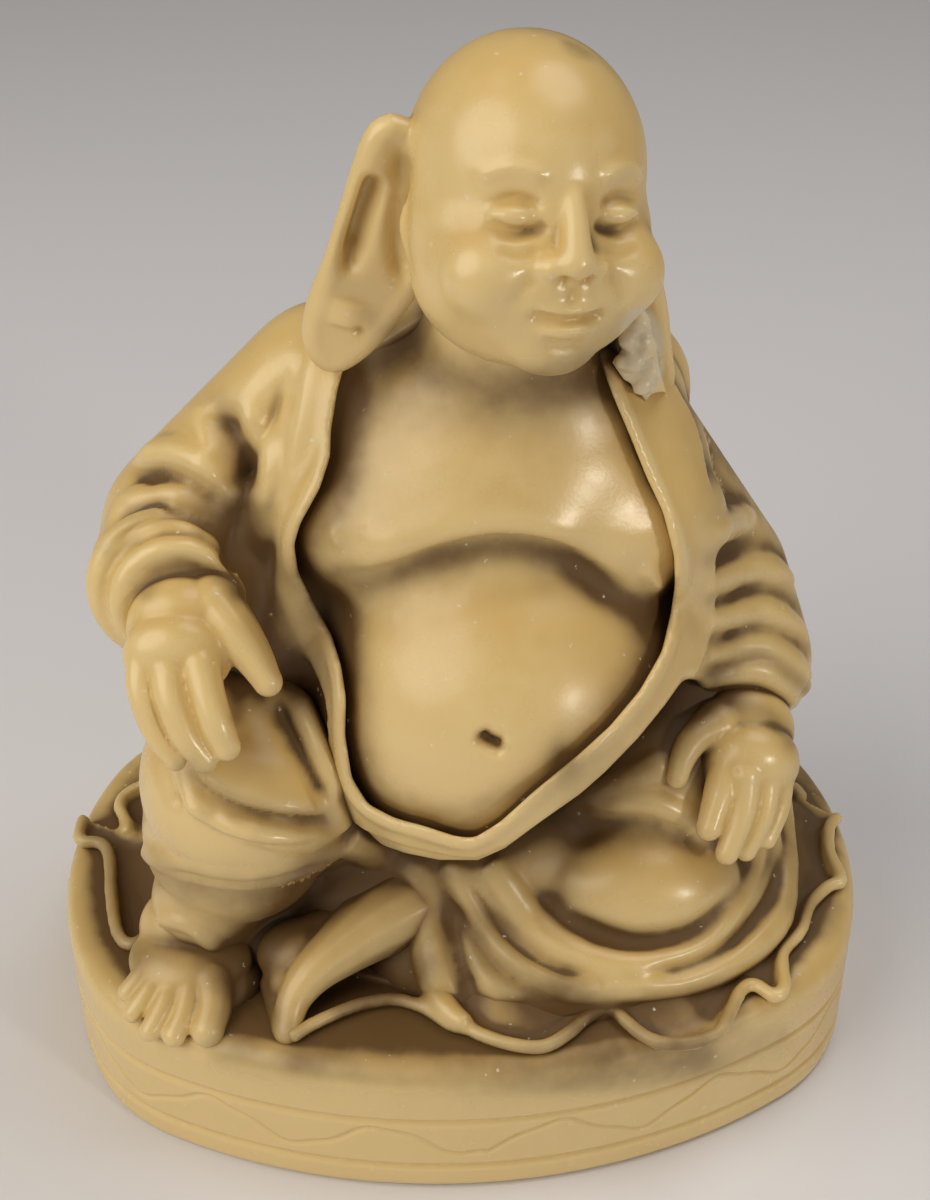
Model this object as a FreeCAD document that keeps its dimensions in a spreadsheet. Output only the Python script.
import FreeCAD, Part
import math
import os
import Sketcher
from FreeCAD import Placement, Rotation, Vector

# A seated, laughing, bald monk of cast resin on an oval plinth.
# Millimetres. +Z is up, the figure faces -Y, and its own right hand is on the -X side.
# The origin is the middle of the plinth's underside.
# "rise" is a height above the plinth's top, and "right" and "left" are the figure's own.

SIZES = {
    # plinth: an oval of eight arcs, felt in a shallow recess below, two engraved lines round the side
    "plinth_width": 100.0,
    "plinth_depth": 76.0,
    "plinth_height": 19.0,
    "front_arc_radius": 75.0,
    "side_arc_radius": 45.0,
    "corner_arc_radius": 22.0,
    "rim_round": 2.4,
    "foot_round": 0.8,
    "line_width": 0.9,
    "line_depth": 0.4,
    "upper_line_height": 11.2,
    "lower_line_height": 3.6,
    "felt_thickness": 1.0,
    "felt_margin": 5.0,
    # belly
    "belly_x": 4.0,
    "belly_y": -9.0,
    "belly_rise": 32.0,
    "belly_half_width": 21.0,
    "belly_half_depth": 21.0,
    "belly_half_height": 22.0,
    "navel_radius": 1.5,
    "navel_rise": 7.0,
    # chest and neck
    "chest_x": 4.5,
    "chest_y": -2.0,
    "chest_rise": 55.5,
    "chest_half_width": 20.5,
    "chest_half_depth": 14.0,
    "chest_half_height": 15.5,
    "collar_rise": 66.0,
    "collar_half_width": 16.0,
    "collar_half_depth": 11.5,
    "collar_half_height": 10.5,
    "breast_spacing": 19.5,
    "breast_rise": 54.0,
    "breast_forward": 7.0,
    "breast_half_width": 11.0,
    "breast_half_depth": 8.5,
    "breast_half_height": 8.0,
    "neck_radius": 10.0,
    "neck_top_radius": 8.8,
    "neck_back": 4.0,
    "neck_top_rise": 3.0,
    # head: the chin's underside is its lowest point
    "head_x": 5.8,
    "head_y": -8.0,
    "chin_rise": 75.0,
    "head_height": 32.0,
    "head_half_width": 12.1,
    "head_half_depth": 13.3,
    "head_turn": 14.0,
    "head_lean": 7.0,
    # ears, long lobed, standing off the head
    "ear_length": 29.0,
    "ear_width": 6.8,
    "ear_thickness": 3.0,
    "ear_rim": 1.1,
    "ear_hollow": 1.3,
    "ear_round": 1.0,
    "ear_drop": 5.5,
    "ear_set_back": 2.5,
    "ear_lobe_out": 4.5,
    "ear_flare": 60.0,
    "ear_splay": 14.0,
    # robe: an open coat with a rounded back that spreads round the seat
    "robe_x": 1.5,
    "robe_y": 8.0,
    "robe_rise": 39.0,
    "robe_half_width": 26.5,
    "robe_half_depth": 18.0,
    "robe_half_height": 38.0,
    "seat_half_width": 38.0,
    "seat_half_depth": 23.5,
    "seat_rise": 12.0,
    "waist_rise": 29.0,
    "nape_rise": 72.0,
    "lapel_width": 6.6,
    "lapel_thickness": 3.0,
    # arms: shoulder, elbow and wrist, and the sleeve round them
    "right_shoulder_x": -14.0,
    "right_elbow_x": -30.5,
    "right_wrist_x": -31.5,
    "left_shoulder_x": 17.0,
    "left_elbow_x": 30.0,
    "left_wrist_x": 34.0,
    "elbow_y": 2.0,
    "wrist_y": -12.0,
    "arm_shoulder_rise": 62.0,
    "right_elbow_rise": 47.0,
    "left_elbow_rise": 43.0,
    "right_wrist_rise": 47.0,
    "left_wrist_rise": 26.0,
    "sleeve_shoulder_radius": 10.5,
    "sleeve_elbow_radius": 10.8,
    "sleeve_cuff_radius": 8.6,
    "sleeve_fold": 0.8,
    # hands
    "hand_length": 11.0,
    "hand_half_width": 6.2,
    "hand_half_thickness": 3.4,
    "finger_length": 10.0,
    "finger_radius": 1.75,
    "finger_spacing": 3.1,
    # legs in loose trousers: the right knee is up, the left lies flat
    "right_knee_x": -25.5,
    "right_knee_y": -13.0,
    "right_knee_rise": 25.0,
    "right_knee_radius": 12.8,
    "right_hem_radius": 9.0,
    "right_hem_rise": 8.5,
    "left_knee_x": 28.0,
    "left_knee_y": -11.0,
    "left_knee_rise": 8.0,
    "left_knee_radius": 12.5,
    "mound_x": 22.0,
    "mound_y": -17.0,
    "mound_rise": 8.0,
    "mound_half_length": 5.5,
    "mound_radius": 7.6,
    "hip_radius": 14.0,
    "right_hip_x": -10.0,
    "left_hip_x": 9.0,
    "hip_y": 4.0,
    "hip_rise": 13.0,
    "left_cuff_x": 4.0,
    "left_cuff_y": -22.0,
    "left_cuff_radius": 7.0,
    # feet
    "foot_length": 15.0,
    "foot_half_width": 5.6,
    "instep_rise": 6.5,
    "toe_radius": 1.9,
    "right_heel_x": -31.5,
    "right_heel_y": -16.5,
    "left_ankle_x": -10.0,
    "left_ankle_y": -19.5,
    "left_toe_x": -21.5,
    "left_toe_y": -29.5,
    # cloth that spreads over the plinth in a wavy hem
    "hem_margin": 4.0,
    "hem_wave": 2.2,
    "hem_thickness": 1.6,
    # skirt: a low dome of cloth over the lap, with folds that sweep from the waist round the left thigh
    "skirt_x": 13.0,
    "skirt_y": -13.0,
    "skirt_rise": 0.0,
    "skirt_half_width": 27.5,
    "skirt_half_depth": 20.0,
    "skirt_half_height": 12.0,
    "waist_x": 4.0,
    "waist_y": -15.0,
    "waist_knot_rise": 12.0,
    "waist_half_width": 15.0,
    "waist_half_depth": 12.0,
    "waist_half_height": 9.0,
    "fold_radius": 2.2,
    "fold_height": 1.3,
}

HEM_WAVES = 13
SQUARENESS = 2.35
SLIVER = 0.05
RIGHT_SLEEVE_RINGS = 3
LEFT_SLEEVE_RINGS = 5
SHIN_RINGS = 3
TOES = 5
FINGERS = 4

doc = FreeCAD.newDocument("seated_monk")
sheet = doc.addObject("Spreadsheet::Sheet", "Sizes")
for row, (alias, value) in enumerate(SIZES.items(), start=1):
    sheet.set("A%d" % row, alias.replace("_", " "))
    sheet.set("B%d" % row, str(value))
    sheet.setAlias("B%d" % row, alias)
doc.recompute()


def cells(expression):
    """Puts the sheet's name before each alias of an expression."""
    words = expression.replace("(", " ( ").replace(")", " ) ").split()
    return " ".join("Sizes." + word if word in SIZES else word for word in words)


def size(expression):
    """The number that an expression on the sheet's aliases gives now."""
    return float(sheet.evalExpression(cells(expression)))


def place(thing, x, y, z):
    """Binds a primitive's place to expressions on the sheet's cells."""
    thing.setExpression(".Placement.Base.x", cells(x))
    thing.setExpression(".Placement.Base.y", cells(y))
    thing.setExpression(".Placement.Base.z", cells(z))
    return thing


def ellipsoid(name, centre, half_sizes):
    thing = doc.addObject("Part::Ellipsoid", name)
    for radius, expression in zip(("Radius2", "Radius3", "Radius1"), half_sizes):
        thing.setExpression(radius, cells(expression))
    return place(thing, *centre)


def shaped(name, shape):
    """A document object with a shape made by Part's own functions."""
    thing = doc.addObject("Part::Feature", name)
    thing.Shape = shape
    return thing


def carved(name, form, *others):
    """A node: its form without the forms that hold their place before it, so that faces meet."""
    solid = form.Shape
    for other in others:
        solid = solid.cut(other.Shape)
    largest = max(piece.Volume for piece in solid.Solids)
    pieces = [piece for piece in solid.Solids if piece.Volume > largest * SLIVER]
    return shaped(name, pieces[0] if len(pieces) == 1 else Part.Compound(pieces))


def fuse(name, *things):
    whole = doc.addObject("Part::MultiFuse", name)
    whole.Shapes = list(things)
    whole.Refine = False
    doc.recompute()
    return whole


# ---------------------------------------------------------------- organic sections and limbs


def ring(centre, across, along, half_across, half_along, points=12):
    """A closed smooth wire round an ellipse that lies on two directions."""
    around = []
    for step in range(points):
        angle = 2 * math.pi * step / points
        off = across * (half_across * math.cos(angle)) + along * (half_along * math.sin(angle))
        around.append(centre + off)
    curve = Part.BSplineCurve()
    curve.interpolate(Points=around, PeriodicFlag=True)
    return Part.Wire([curve.toShape()])


def stack(stations):
    """A smooth solid through level rings, each (height, middle x, middle y, half width, half depth)."""
    rings = [
        ring(Vector(x, y, height), Vector(1, 0, 0), Vector(0, 1, 0), half_width, half_depth)
        for height, x, y, half_width, half_depth in stations
    ]
    return Part.makeLoft(rings, True, False)


def between(start, end, share):
    return start + (end - start) * share


def taper(start, start_radius, end, end_radius):
    """A solid round two balls and the cone that touches both."""
    length = (end - start).Length
    slope = math.asin((start_radius - end_radius) / length)

    def on_ball(radius, height, angle):
        return Vector(radius * math.cos(angle), 0, height + radius * math.sin(angle))

    low = on_ball(start_radius, 0, slope)
    high = on_ball(end_radius, length, slope)
    low_mid = on_ball(start_radius, 0, slope / 2 - math.pi / 4)
    high_mid = on_ball(end_radius, length, slope / 2 + math.pi / 4)
    bottom = Vector(0, 0, -start_radius)
    top = Vector(0, 0, length + end_radius)
    edges = [
        Part.Arc(bottom, low_mid, low).toShape(),
        Part.makeLine(low, high),
        Part.Arc(high, high_mid, top).toShape(),
        Part.makeLine(top, bottom),
    ]
    return revolved(edges, start, end)


def turned(start, end, radii):
    """A solid of revolution through evenly spaced radii from start to end, with flat ends."""
    length = (end - start).Length
    outline = [Vector(radius, 0, length * here / (len(radii) - 1)) for here, radius in enumerate(radii)]
    curve = Part.BSplineCurve()
    curve.interpolate(Points=outline)
    edges = [
        curve.toShape(),
        Part.makeLine(outline[-1], Vector(0, 0, length)),
        Part.makeLine(Vector(0, 0, length), Vector(0, 0, 0)),
        Part.makeLine(Vector(0, 0, 0), outline[0]),
    ]
    return revolved(edges, start, end)


def revolved(edges, start, end):
    """Turns a profile in the XZ plane round Z, then lays Z along start to end."""
    solid = Part.Face(Part.Wire(edges)).revolve(Vector(0, 0, 0), Vector(0, 0, 1), 360)
    solid.Placement = Placement(start, Rotation(Vector(0, 0, 1), end - start))
    return solid


def folded(start_radius, end_radius, folds, depth):
    """Radii that run from one to another and swell at each fold of the cloth."""
    steps = 4 * folds
    return [
        between(start_radius, end_radius, step / steps) + depth * math.sin(2 * math.pi * folds * step / steps)
        for step in range(steps + 1)
    ]


def union(solids):
    return solids[0].fuse(solids[1:])


def spot(x, y, rise):
    """A point at a height above the plinth's top."""
    return Vector(size(x), size(y), size("plinth_height + " + rise))


# ---------------------------------------------------------------- plinth and felt


def oval_sketch(body, name, height, *offsets):
    """The plinth's outline, once per offset, as eight tangent arcs on a level plane of the body."""
    plane = next(f for f in body.Origin.OriginFeatures if f.Role == "XY_Plane")
    sketch = body.newObject("Sketcher::SketchObject", name)
    sketch.AttachmentSupport = [(plane, "")]
    sketch.MapMode = "FlatFace"
    sketch.setExpression(".AttachmentOffset.Base.z", cells(height))
    for offset in offsets:
        draw_oval(sketch, offset)
    return sketch


def draw_oval(sketch, offset):
    """Adds the arcs of the front, the back, two sides and four corners, each tangent to the next."""
    half_width = size("plinth_width / 2 " + offset)
    half_depth = size("plinth_depth / 2 " + offset)
    front = size("front_arc_radius " + offset)
    side = size("side_arc_radius " + offset)
    corner = size("corner_arc_radius " + offset)
    front_centre = Vector(0, half_depth - front, 0)
    side_centre = Vector(half_width - side, 0, 0)
    # the corner's centre lies where circles about the two other centres cross
    line = side_centre - front_centre
    along = ((front - corner) ** 2 - (side - corner) ** 2 + line.Length**2) / (2 * line.Length)
    off = math.sqrt((front - corner) ** 2 - along**2)
    line.normalize()
    corner_centre = front_centre + line * along + Vector(line.y, -line.x, 0) * off
    front_end = corner_centre + (corner_centre - front_centre).normalize() * corner
    side_end = corner_centre + (corner_centre - side_centre).normalize() * corner
    corner_mid = corner_centre + (front_end + side_end - corner_centre * 2).normalize() * corner

    def flip(point, x, y):
        return Vector(point.x * x, point.y * y, 0)

    def arc(start, inner, end):
        return sketch.addGeometry(Part.Arc(start, inner, end), False)

    first = {"start": 1, "end": 2, "centre": 3}
    back = arc(front_end, Vector(0, half_depth, 0), flip(front_end, -1, 1))
    back_left = arc(flip(front_end, -1, 1), flip(corner_mid, -1, 1), flip(side_end, -1, 1))
    left = arc(flip(side_end, -1, 1), Vector(-half_width, 0, 0), flip(side_end, -1, -1))
    front_left = arc(flip(side_end, -1, -1), flip(corner_mid, -1, -1), flip(front_end, -1, -1))
    face = arc(flip(front_end, -1, -1), Vector(0, -half_depth, 0), flip(front_end, 1, -1))
    front_right = arc(flip(front_end, 1, -1), flip(corner_mid, 1, -1), flip(side_end, 1, -1))
    right = arc(flip(side_end, 1, -1), Vector(half_width, 0, 0), side_end)
    back_right = arc(side_end, corner_mid, front_end)
    arcs = [back, back_left, left, front_left, face, front_right, right, back_right]
    for here, following in zip(arcs, arcs[1:] + arcs[:1]):
        sketch.addConstraint(Sketcher.Constraint("Tangent", here, first["end"], following, first["start"]))
    corners = (back_left, front_left, front_right, back_right)
    for group, alias in (((back, face), "front"), ((left, right), "side"), (corners, "corner")):
        for one in group:
            expression = alias + "_arc_radius " + offset
            held(sketch, Sketcher.Constraint("Radius", one, size(expression)), expression)
    for one in (back, face):
        sketch.addConstraint(Sketcher.Constraint("PointOnObject", one, first["centre"], -2))
    for one in (left, right):
        sketch.addConstraint(Sketcher.Constraint("PointOnObject", one, first["centre"], -1))
    below = "front_arc_radius - plinth_depth / 2"
    held(sketch, Sketcher.Constraint("DistanceY", back, first["centre"], -1, 1, size(below)), below)
    beyond = "plinth_width / 2 - side_arc_radius"
    held(sketch, Sketcher.Constraint("DistanceX", -1, 1, right, first["centre"], size(beyond)), beyond)


def held(sketch, constraint, expression):
    """Adds a constraint whose size an expression gives."""
    index = sketch.addConstraint(constraint)
    sketch.setExpression("Constraints[%d]" % index, cells(expression))


def pad(body, sketch, length):
    feature = body.newObject("PartDesign::Pad", sketch.Name + "_pad")
    feature.Profile = sketch
    feature.setExpression("Length", cells(length))
    doc.recompute()
    return feature


def pocket(body, sketch, length, name, away=True):
    """A pocket that cuts upwards from its sketch, or against its normal if not away."""
    feature = body.newObject("PartDesign::Pocket", name)
    feature.Profile = sketch
    feature.Reversed = away
    feature.setExpression("Length", cells(length))
    doc.recompute()
    return feature


def rounded(body, name, radius, chosen):
    """A fillet on the edges that a test chooses."""
    solid = body.Tip
    edges = ["Edge%d" % number for number, edge in enumerate(solid.Shape.Edges, start=1) if chosen(edge)]
    feature = body.newObject("PartDesign::Fillet", name)
    feature.Base = (solid, edges)
    feature.setExpression("Radius", cells(radius))
    doc.recompute()
    return feature


def make_plinth():
    body = doc.addObject("PartDesign::Body", "plinth")
    pad(body, oval_sketch(body, "plinth_outline", "0", ""), "plinth_height")
    for name in ("upper_line", "lower_line"):
        line = oval_sketch(body, name + "_outline", name + "_height", "+ line_depth", "- line_depth")
        pocket(body, line, "line_width", name)
    reach = 0.01

    def round_the_edge(height):
        return lambda edge: max(abs(edge.BoundBox.ZMin - height), abs(edge.BoundBox.ZMax - height)) < reach

    rounded(body, "rim", "rim_round", round_the_edge(size("plinth_height")))
    rounded(body, "foot", "foot_round", round_the_edge(0.0))
    recess = oval_sketch(body, "felt_recess_outline", "0", "- felt_margin")
    pocket(body, recess, "felt_thickness", "felt_recess")
    return body


def make_felt():
    body = doc.addObject("PartDesign::Body", "felt_pad")
    pad(body, oval_sketch(body, "felt_outline", "0", "- felt_margin"), "felt_thickness")
    return body


# ---------------------------------------------------------------- head and ears


def head_place():
    """Where the chin is, with the turn and the lean of the head."""
    lean = Rotation(Vector(0, 1, 0), size("head_lean"))
    turn = Rotation(Vector(0, 0, 1), size("head_turn"))
    return Placement(spot("head_x", "head_y", "chin_rise"), lean.multiply(turn))


def make_head():
    """A skull by level rings, with brows, closed eyes, nose, cheeks, lips and chin added.

    Proportions are a drawing book's: eyes half way up, nose and mouth on the thirds below the brow.
    """
    skull = [
        (0.00, -0.27, 0.30, 0.26),
        (0.04, -0.26, 0.52, 0.46),
        (0.13, -0.24, 0.80, 0.73),
        (0.27, -0.20, 0.98, 0.89),
        (0.42, -0.12, 1.00, 0.95),
        (0.57, -0.03, 1.00, 1.00),
        (0.72, 0.03, 0.93, 0.96),
        (0.85, 0.05, 0.76, 0.78),
        (0.94, 0.05, 0.50, 0.52),
        (0.985, 0.05, 0.25, 0.26),
        (1.00, 0.05, 0.06, 0.06),
    ]
    tall, wide, deep = size("head_height"), size("head_half_width"), size("head_half_depth")
    rings = [(up * tall, 0, back * deep, across * wide, along * deep) for up, back, across, along in skull]
    pieces = [shaped("skull", stack(rings))]
    pieces += [
        feature("nose_bridge", "", 0.00, 0.98, 0.47, 0.11, 0.19, 0.100),
        feature("nose_tip", "", 0.00, 1.07, 0.365, 0.16, 0.20, 0.042),
        feature("upper_lip", "", 0.00, 1.00, 0.245, 0.30, 0.12, 0.018),
        feature("lower_lip", "", 0.00, 0.97, 0.205, 0.24, 0.13, 0.022),
        feature("chin", "", 0.00, 0.80, 0.085, 0.34, 0.22, 0.075),
    ]
    for side in ("-", "+"):
        pieces += [
            feature("brow", side, 0.36, 0.85, 0.575, 0.32, 0.14, 0.035),
            feature("eyelid", side, 0.38, 0.86, 0.490, 0.21, 0.15, 0.040),
            feature("nostril", side, 0.15, 1.04, 0.350, 0.11, 0.13, 0.032),
            feature("cheek", side, 0.50, 0.76, 0.350, 0.34, 0.25, 0.120),
        ]
    head = fuse("head", *pieces)
    head.Placement = head_place()
    doc.recompute()
    return head


def feature(name, side, across, forward, up, half_across, half_along, half_up):
    """An ellipsoid of the face, all in shares of the head's own half width, half depth and height."""
    return ellipsoid(
        name,
        ("0 %s head_half_width * %s" % (side or "+", across), "0 - head_half_depth * %s" % forward,
         "head_height * %s" % up),
        ("head_half_width * %s" % half_across, "head_half_depth * %s" % half_along,
         "head_height * %s" % half_up),
    )


def drop_sketch(body, name, lift, low_radius, high_radius, low, high):
    """An upright outline of two arcs and the lines that touch both, on the body's YZ plane."""
    plane = next(f for f in body.Origin.OriginFeatures if f.Role == "YZ_Plane")
    sketch = body.newObject("Sketcher::SketchObject", name)
    sketch.AttachmentSupport = [(plane, "")]
    sketch.MapMode = "FlatFace"
    sketch.setExpression(".AttachmentOffset.Base.z", cells(lift))
    small, large = size(low_radius), size(high_radius)
    bottom, top = size(low), size(high)
    tilt = math.asin((large - small) / (top - bottom))
    low_right = Vector(small * math.cos(tilt), bottom - small * math.sin(tilt), 0)
    high_right = Vector(large * math.cos(tilt), top - large * math.sin(tilt), 0)
    low_left = Vector(-low_right.x, low_right.y, 0)
    high_left = Vector(-high_right.x, high_right.y, 0)
    parts = [
        Part.Arc(low_left, Vector(0, bottom - small, 0), low_right),
        Part.LineSegment(low_right, high_right),
        Part.Arc(high_right, Vector(0, top + large, 0), high_left),
        Part.LineSegment(high_left, low_left),
    ]
    lobe, front, crest, rear = [sketch.addGeometry(part, False) for part in parts]
    start, end, centre = 1, 2, 3
    sketch.addConstraint(Sketcher.Constraint("Tangent", lobe, end, front, start))
    sketch.addConstraint(Sketcher.Constraint("Tangent", front, end, crest, start))
    sketch.addConstraint(Sketcher.Constraint("Tangent", crest, end, rear, start))
    sketch.addConstraint(Sketcher.Constraint("Tangent", rear, end, lobe, start))
    sketch.addConstraint(Sketcher.Constraint("PointOnObject", lobe, centre, -2))
    sketch.addConstraint(Sketcher.Constraint("PointOnObject", crest, centre, -2))
    held(sketch, Sketcher.Constraint("Radius", lobe, small), low_radius)
    held(sketch, Sketcher.Constraint("Radius", crest, large), high_radius)
    held(sketch, Sketcher.Constraint("DistanceY", -1, 1, lobe, centre, bottom), low)
    held(sketch, Sketcher.Constraint("DistanceY", -1, 1, crest, centre, top), high)
    return sketch


def ear_form(name, side):
    """A long ear: a slab with a rolled rim and a hollow, its lobe below the jaw."""
    body = doc.addObject("PartDesign::Body", name + "_form")
    outline = drop_sketch(body, name + "_outline", "0", "ear_width * 0.4", "ear_width / 2",
                          "ear_width * 0.4", "ear_length - ear_width / 2")
    pad(body, outline, "ear_thickness")
    rounded(body, name + "_edges", "ear_round", lambda edge: edge.BoundBox.XLength < 0.01)
    hollow = drop_sketch(body, name + "_hollow_outline", "ear_thickness", "ear_width * 0.2",
                         "ear_width / 2 - ear_rim", "ear_length * 0.48", "ear_length - ear_width / 2")
    pocket(body, hollow, "ear_hollow", name + "_hollow", away=False)
    outward = Rotation(Vector(0, 0, 1), 0 if side > 0 else 180)
    flare = Rotation(Vector(0, 0, 1), -side * size("ear_flare"))
    splay = Rotation(Vector(0, 1, 0), -side * size("ear_splay"))
    seat = Vector(side * size("head_half_width + ear_lobe_out"), size("ear_set_back"), -size("ear_drop"))
    body.Placement = head_place().multiply(Placement(seat, splay.multiply(flare).multiply(outward)))
    doc.recompute()
    return body


# ---------------------------------------------------------------- body


def chest_form():
    """Rib cage, two breasts and the neck."""
    chest = ellipsoid(
        "rib_cage",
        ("chest_x", "chest_y", "plinth_height + chest_rise"),
        ("chest_half_width", "chest_half_depth", "chest_half_height"),
    )
    breasts = [
        ellipsoid(
            "breast",
            ("chest_x %s breast_spacing / 2" % side, "chest_y - breast_forward",
             "plinth_height + breast_rise"),
            ("breast_half_width", "breast_half_depth", "breast_half_height"),
        )
        for side in ("-", "+")
    ]
    collar = ellipsoid(
        "collar",
        ("chest_x", "chest_y", "plinth_height + collar_rise"),
        ("collar_half_width", "collar_half_depth", "collar_half_height"),
    )
    nape = spot("chest_x", "chest_y", "collar_rise")
    skull_base = spot("head_x", "head_y + neck_back", "chin_rise + neck_top_rise")
    neck = shaped("neck", taper(nape, size("neck_radius"), skull_base, size("neck_top_radius")))
    return fuse("chest_form", chest, collar, neck, *breasts)


def belly_form():
    form = ellipsoid(
        "belly_form",
        ("belly_x", "belly_y", "plinth_height + belly_rise"),
        ("belly_half_width", "belly_half_depth", "belly_half_height"),
    )
    doc.recompute()
    return form


def navel_form():
    """The hollow that the navel takes out of the belly's front."""
    navel = doc.addObject("Part::Sphere", "navel")
    navel.setExpression("Radius", cells("navel_radius"))
    place(navel, "belly_x", "belly_y - belly_half_depth", "plinth_height + belly_rise + navel_rise")
    doc.recompute()
    return navel


# ---------------------------------------------------------------- arms and hands


def hand_form(name, wrist, spread, reach):
    """Four curled fingers and a thumb on a broad palm."""
    radius = size("finger_radius")
    length = size("finger_length")
    palm = wrist + reach * size("hand_length / 2") + Vector(0, -size("hand_half_thickness"), 0)
    solids = [taper(wrist, size("hand_half_width * 0.8"), palm, size("hand_half_width * 0.75"))]
    curl = Vector(0, size("hand_half_thickness"), -size("hand_half_thickness")) * 0.5
    for finger in range(FINGERS):
        across = (finger - (FINGERS - 1) / 2) * size("finger_spacing")
        root = palm + spread * across + reach * size("hand_length / 4")
        shorter = abs(finger - 1) * 0.07
        knuckle = root + reach * (length * (0.55 - shorter))
        tip = knuckle + reach * (length * (0.35 - shorter)) + curl
        solids += [taper(root, radius * 1.1, knuckle, radius), taper(knuckle, radius, tip, radius * 0.8)]
    root = palm - spread * size("hand_half_width * 0.7") - reach * size("hand_length * 0.1")
    tip = root - spread * size("finger_length * 0.45") + reach * size("finger_length * 0.6")
    solids.append(taper(root, radius * 1.35, tip, radius * 0.95))
    return shaped(name + "_form", union(solids))


def sleeve_form(name, shoulder, elbow, wrist, rings):
    """A wide sleeve, smooth on the upper arm, whose cloth bunches in rings on the forearm."""
    top, bend, cuff = size("sleeve_shoulder_radius"), size("sleeve_elbow_radius"), size("sleeve_cuff_radius")
    fold = size("sleeve_fold")
    solids = [
        taper(shoulder, top, elbow, bend),
        turned(elbow, wrist, folded(bend, cuff, rings, fold)),
    ]
    return shaped(name + "_form", union(solids))


# ---------------------------------------------------------------- legs and feet


def thigh(hip, knee, knee_radius):
    return taper(hip, size("hip_radius"), knee, knee_radius)


def gathered_leg(hip, knee, hem, knee_radius, hem_radius):
    """A loose trouser leg with a raised knee: thigh, and a shin that is gathered in rings."""
    shin = turned(knee, hem, folded(knee_radius * 0.97, hem_radius, SHIN_RINGS, size("sleeve_fold")))
    return shaped("right_leg_form", union([thigh(hip, knee, knee_radius), shin]))


def folded_leg(hip, knee, hem, knee_radius, hem_radius):
    """A leg that lies flat: thigh, the smooth mound of cloth on the knee, and the shin across the lap."""
    mound = Vector(size("mound_x"), size("mound_y"), size("plinth_height + mound_rise"))
    solids = [
        thigh(hip, knee, knee_radius),
        taper(knee, knee_radius * 0.9, hem, hem_radius),
        taper(mound - Vector(size("mound_half_length"), 0, 0), size("mound_radius"),
              mound + Vector(size("mound_half_length"), 0, 0), size("mound_radius") * 0.98),
    ]
    return shaped("left_leg_form", union(solids))


def foot_form(name, heel, toe):
    """A bare foot with an ankle above the heel and five toes, the big toe on the inner side."""
    radius = size("toe_radius")
    forward = (toe - heel).normalize()
    inner = Vector(-forward.y, forward.x, 0).normalize()
    ball = toe - forward * size("toe_radius * 2.2")
    solids = [
        taper(heel, size("foot_half_width * 0.85"), ball, size("foot_half_width * 0.62")),
        taper(ball - inner * radius, radius * 1.5, ball + inner * radius, radius * 1.5),
    ]
    for number in range(TOES):
        across = size("foot_half_width") * (1 - 2 * number / (TOES - 1)) * 0.8
        thick = radius * (1.0 - 0.1 * number)
        root = ball + inner * across
        tip = root + forward * (radius * (2.2 - 0.3 * number)) + Vector(0, 0, -radius * 0.6)
        solids.append(taper(root, thick * 1.05, tip, thick))
    return shaped(name + "_form", union(solids))


# ---------------------------------------------------------------- robe


def on_dome(part, turn, climb):
    """A point of an ellipsoid and the way out of it, by its turn from the front and its climb."""
    turn, climb = math.radians(turn), math.radians(climb)
    out = Vector(math.sin(turn) * math.cos(climb), -math.cos(turn) * math.cos(climb), math.sin(climb))
    half = [size(part + "_half_" + way) for way in ("width", "depth", "height")]
    middle = spot(part + "_x", part + "_y", part + "_rise")
    point = middle + Vector(out.x * half[0], out.y * half[1], out.z * half[2])
    away = Vector(out.x / half[0], out.y / half[1], out.z / half[2]).normalize()
    return point, away


def lapel_form(name, side, places):
    """A rolled band that runs from behind the neck over the chest and round the belly."""
    radius = size("lapel_width / 2")
    sunk = radius - size("lapel_thickness")
    nape = spot("chest_x", "chest_y", "nape_rise")
    points = [
        nape + Vector(side * size("lapel_width * 0.52"), size("neck_radius * 0.9"), -sunk),
        nape + Vector(side * size("neck_radius"), size("neck_radius * 0.55"), -sunk),
    ]
    for where in places:
        point, away = on_dome(*where)
        points.append(point - away * sunk)
    rolls = [taper(here, radius, there, radius * 0.98) for here, there in zip(points, points[1:])]
    return shaped(name + "_form", union(rolls))


def robe_form():
    """The coat as level rings: an egg-shaped back whose skirt spreads round the seat."""
    middle = spot("robe_x", "robe_y", "robe_rise")
    wide, deep, tall = size("robe_half_width"), size("robe_half_depth"), size("robe_half_height")
    seat, seat_depth = size("seat_half_width"), size("seat_half_depth")
    ground = size("plinth_height + hem_thickness")
    seat_top, waist = size("plinth_height + seat_rise"), size("plinth_height + waist_rise")
    rings = [
        (ground, middle.x, middle.y, seat, seat_depth),
        (between(ground, seat_top, 0.6), middle.x, middle.y, seat, seat_depth),
    ]
    for up, drawn_in in ((0.35, 0.45), (0.8, 0.9)):
        half_width, half_depth = between(seat, wide, drawn_in), between(seat_depth, deep, drawn_in)
        rings.append((between(seat_top, waist, up), middle.x, middle.y, half_width, half_depth))
    for up in (0.0, 0.3, 0.55, 0.75, 0.88, 0.96):
        share = math.sqrt(1 - up**2)
        rings.append((middle.z + tall * up, middle.x, middle.y, wide * share, deep * share))
    return shaped("robe_form", stack(rings))


def ground_form():
    """All that lies below the figure: it sits on the spread hem."""
    ground = doc.addObject("Part::Box", "ground")
    ground.setExpression("Length", cells("plinth_width"))
    ground.setExpression("Width", cells("plinth_depth"))
    ground.setExpression("Height", cells("plinth_height + hem_thickness"))
    place(ground, "0 - plinth_width / 2", "0 - plinth_depth / 2", "0")
    doc.recompute()
    return ground


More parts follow.
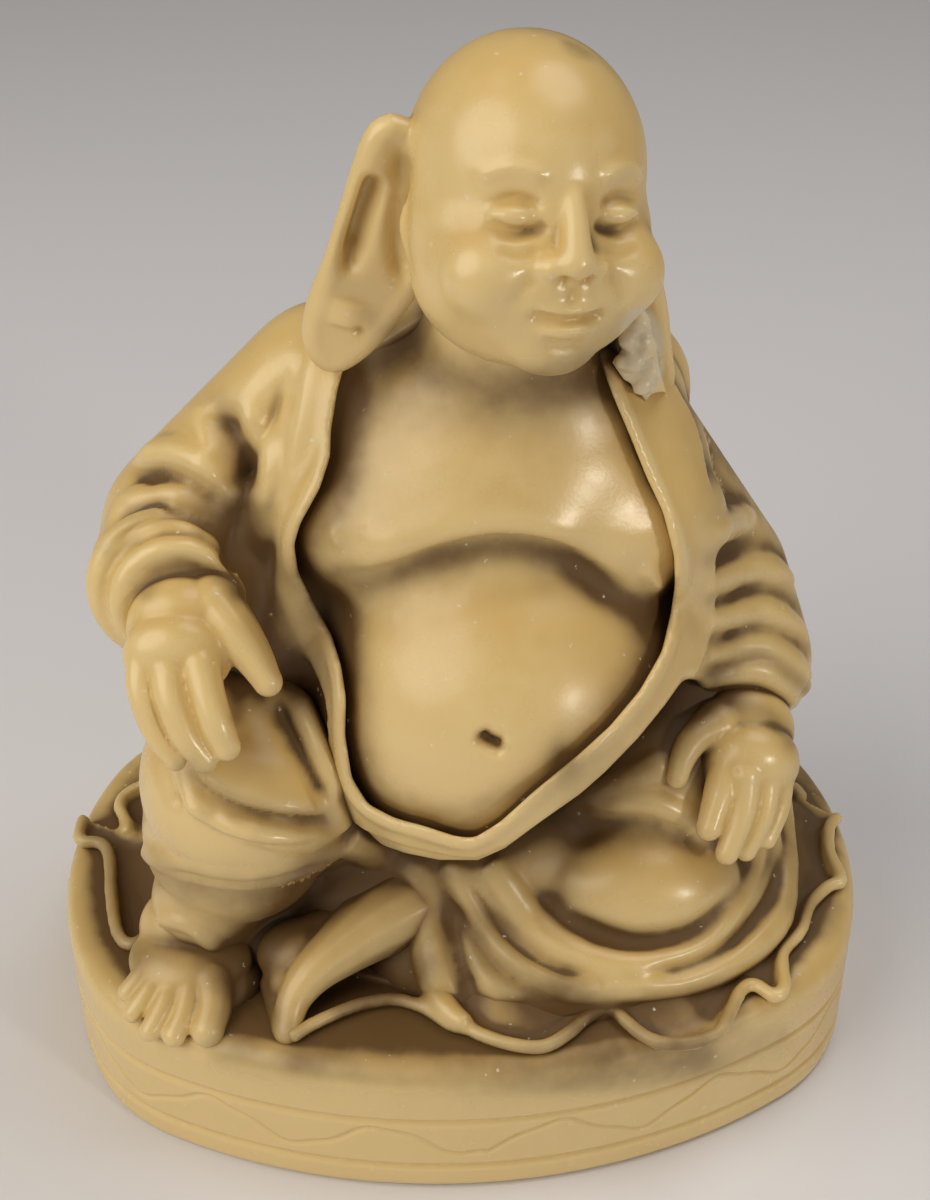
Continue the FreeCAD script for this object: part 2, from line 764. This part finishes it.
def make_hem():
    """The skirt's wavy hem, spread over the plinth: a slab that follows the plinth's edge in waves."""
    points = []
    steps = HEM_WAVES * 6
    for step in range(steps):
        angle = 2 * math.pi * step / steps
        x, y = math.cos(angle), math.sin(angle)
        reach = (abs(x) ** SQUARENESS + abs(y) ** SQUARENESS) ** (-1 / SQUARENESS)
        inset = size("hem_margin + hem_wave / 2") - size("hem_wave / 2") * math.cos(HEM_WAVES * angle)
        half_width = size("plinth_width / 2") - inset
        half_depth = size("plinth_depth / 2") - inset
        points.append(Vector(x * reach * half_width, y * reach * half_depth, size("plinth_height")))
    curve = Part.BSplineCurve()
    curve.interpolate(Points=points, PeriodicFlag=True)
    slab = Part.Face(Part.Wire([curve.toShape()])).extrude(Vector(0, 0, size("hem_thickness")))
    return shaped("hem_cloth", slab)


def lap_form():
    """The skirt's dome and the knot of cloth at the waist, with folds laid over the dome."""
    dome = ellipsoid(
        "skirt_dome",
        ("skirt_x", "skirt_y", "plinth_height + skirt_rise"),
        ("skirt_half_width", "skirt_half_depth", "skirt_half_height"),
    )
    waist = ellipsoid(
        "waist_cloth",
        ("waist_x", "waist_y", "plinth_height + waist_knot_rise"),
        ("waist_half_width", "waist_half_depth", "waist_half_height"),
    )
    folds = [
        [(-90, 48), (-66, 46), (-50, 34), (-38, 10)],
        [(-84, 60), (-45, 55), (-22, 40), (1, 26)],
        [(-70, 66), (-32, 60), (-6, 44), (24, 35), (56, 40), (82, 44)],
        [(5, 28), (34, 25), (68, 24), (94, 22)],
    ]
    return fuse("lap_form", dome, waist, *[lap_fold(places) for places in folds])


def lap_fold(places):
    """A fold of cloth that stands off the skirt's dome along places of (turn, climb)."""
    radius = size("fold_radius")
    sunk = radius - size("fold_height")
    points = []
    for turn, climb in places:
        point, away = on_dome("skirt", turn, climb)
        points.append(point - away * sunk)
    rolls = [taper(here, radius, there, radius * 0.96) for here, there in zip(points, points[1:])]
    return shaped("lap_fold", union(rolls))


# ---------------------------------------------------------------- assembly


def assemble():
    """Makes every form, then carves each by the forms that lie before it."""
    plinth = make_plinth()
    felt = make_felt()
    head = make_head()
    right_ear = ear_form("right_ear", -1)
    left_ear = ear_form("left_ear", 1)
    chest = chest_form()
    belly = belly_form()
    right_wrist = spot("right_wrist_x", "wrist_y", "right_wrist_rise")
    left_wrist = spot("left_wrist_x", "wrist_y", "left_wrist_rise")
    right_hand = hand_form("right_hand", right_wrist, Vector(-1, 0, -0.2), Vector(0.25, -0.4, -0.88))
    left_hand = hand_form("left_hand", left_wrist, Vector(0.92, 0.05, -0.36), Vector(-0.35, -0.35, -0.87))
    right_sleeve = sleeve_form(
        "right_sleeve", spot("right_shoulder_x", "elbow_y", "arm_shoulder_rise"),
        spot("right_elbow_x", "elbow_y", "right_elbow_rise"), right_wrist, RIGHT_SLEEVE_RINGS,
    )
    left_sleeve = sleeve_form(
        "left_sleeve", spot("left_shoulder_x", "elbow_y", "arm_shoulder_rise"),
        spot("left_elbow_x", "elbow_y", "left_elbow_rise"), left_wrist, LEFT_SLEEVE_RINGS,
    )
    sleeves = [right_sleeve, left_sleeve]
    right_heel = spot("right_heel_x", "right_heel_y", "instep_rise / 2")
    right_toe = right_heel + Vector(0, -size("foot_length"), -size("instep_rise / 5"))
    right_foot = foot_form("right_foot", right_heel, right_toe)
    left_foot = foot_form(
        "left_foot", spot("left_ankle_x", "left_ankle_y", "instep_rise * 0.8"),
        spot("left_toe_x", "left_toe_y", "instep_rise / 3"),
    )
    right_leg = gathered_leg(
        spot("right_hip_x", "hip_y", "hip_rise"),
        spot("right_knee_x", "right_knee_y", "right_knee_rise"),
        spot("right_heel_x", "right_heel_y", "right_hem_rise"),
        size("right_knee_radius"), size("right_hem_radius"),
    )
    left_leg = folded_leg(
        spot("left_hip_x", "hip_y", "hip_rise"),
        spot("left_knee_x", "left_knee_y", "left_knee_rise"),
        spot("left_cuff_x", "left_cuff_y", "left_cuff_radius"),
        size("left_knee_radius"), size("left_cuff_radius"),
    )
    legs = [right_leg, left_leg]
    right_lapel = lapel_form(
        "right_lapel", -1,
        [("chest", -105, 52), ("chest", -80, 18), ("chest", -78, -14),
         ("belly", -84, 20), ("belly", -64, -3), ("belly", -49, -25), ("belly", -29, -43)],
    )
    left_lapel = lapel_form(
        "left_lapel", 1,
        [("chest", 98, 52), ("chest", 66, 16), ("chest", 66, -14),
         ("belly", 79, 19), ("belly", 52, 5), ("belly", 26, -3), ("belly", 4, -18), ("belly", -8, -38)],
    )
    lapels = [right_lapel, left_lapel]
    robe = robe_form()
    ground = ground_form()
    torso = [chest, belly]
    return [
        plinth,
        felt,
        head,
        carved("right_ear", right_ear, head, chest, right_sleeve, right_lapel),
        carved("left_ear", left_ear, head, chest, left_sleeve, left_lapel),
        carved("chest", chest, head),
        carved("belly", belly, navel_form(), chest),
        carved("right_hand", right_hand),
        carved("left_hand", left_hand, belly, left_lapel),
        carved("right_lapel", right_lapel, robe, *torso),
        carved("left_lapel", left_lapel, robe, *torso),
        carved("right_sleeve", right_sleeve, right_hand, *torso, right_lapel),
        carved("left_sleeve", left_sleeve, left_hand, *torso, left_lapel),
        carved("right_foot", right_foot, ground),
        carved("left_foot", left_foot, ground),
        carved("right_trouser_leg", right_leg, ground, right_foot, right_hand, belly, right_sleeve,
               right_lapel),
        carved("left_trouser_leg", left_leg, ground, left_foot, left_hand, belly, left_sleeve,
               right_leg, left_lapel),
        carved("robe", robe, *torso, *sleeves, *legs),
        carved("lap_folds", lap_form(), ground, belly, *legs, left_foot, *lapels, robe),
        make_hem(),
    ]


def finished(nodes):
    doc.recompute()
    for thing in doc.Objects:
        if "Invalid" in thing.State or "Error" in thing.State:
            raise ValueError("%s failed: %s" % (thing.Name, thing.State))
    os.makedirs("parts", exist_ok=True)
    for node in nodes:
        if node.Shape.isNull() or not node.Shape.isValid() or not node.Shape.Solids:
            raise ValueError(node.Label + " has no sound solid")
        node.Shape.exportStep("parts/%s.step" % node.Label)


finished(assemble())
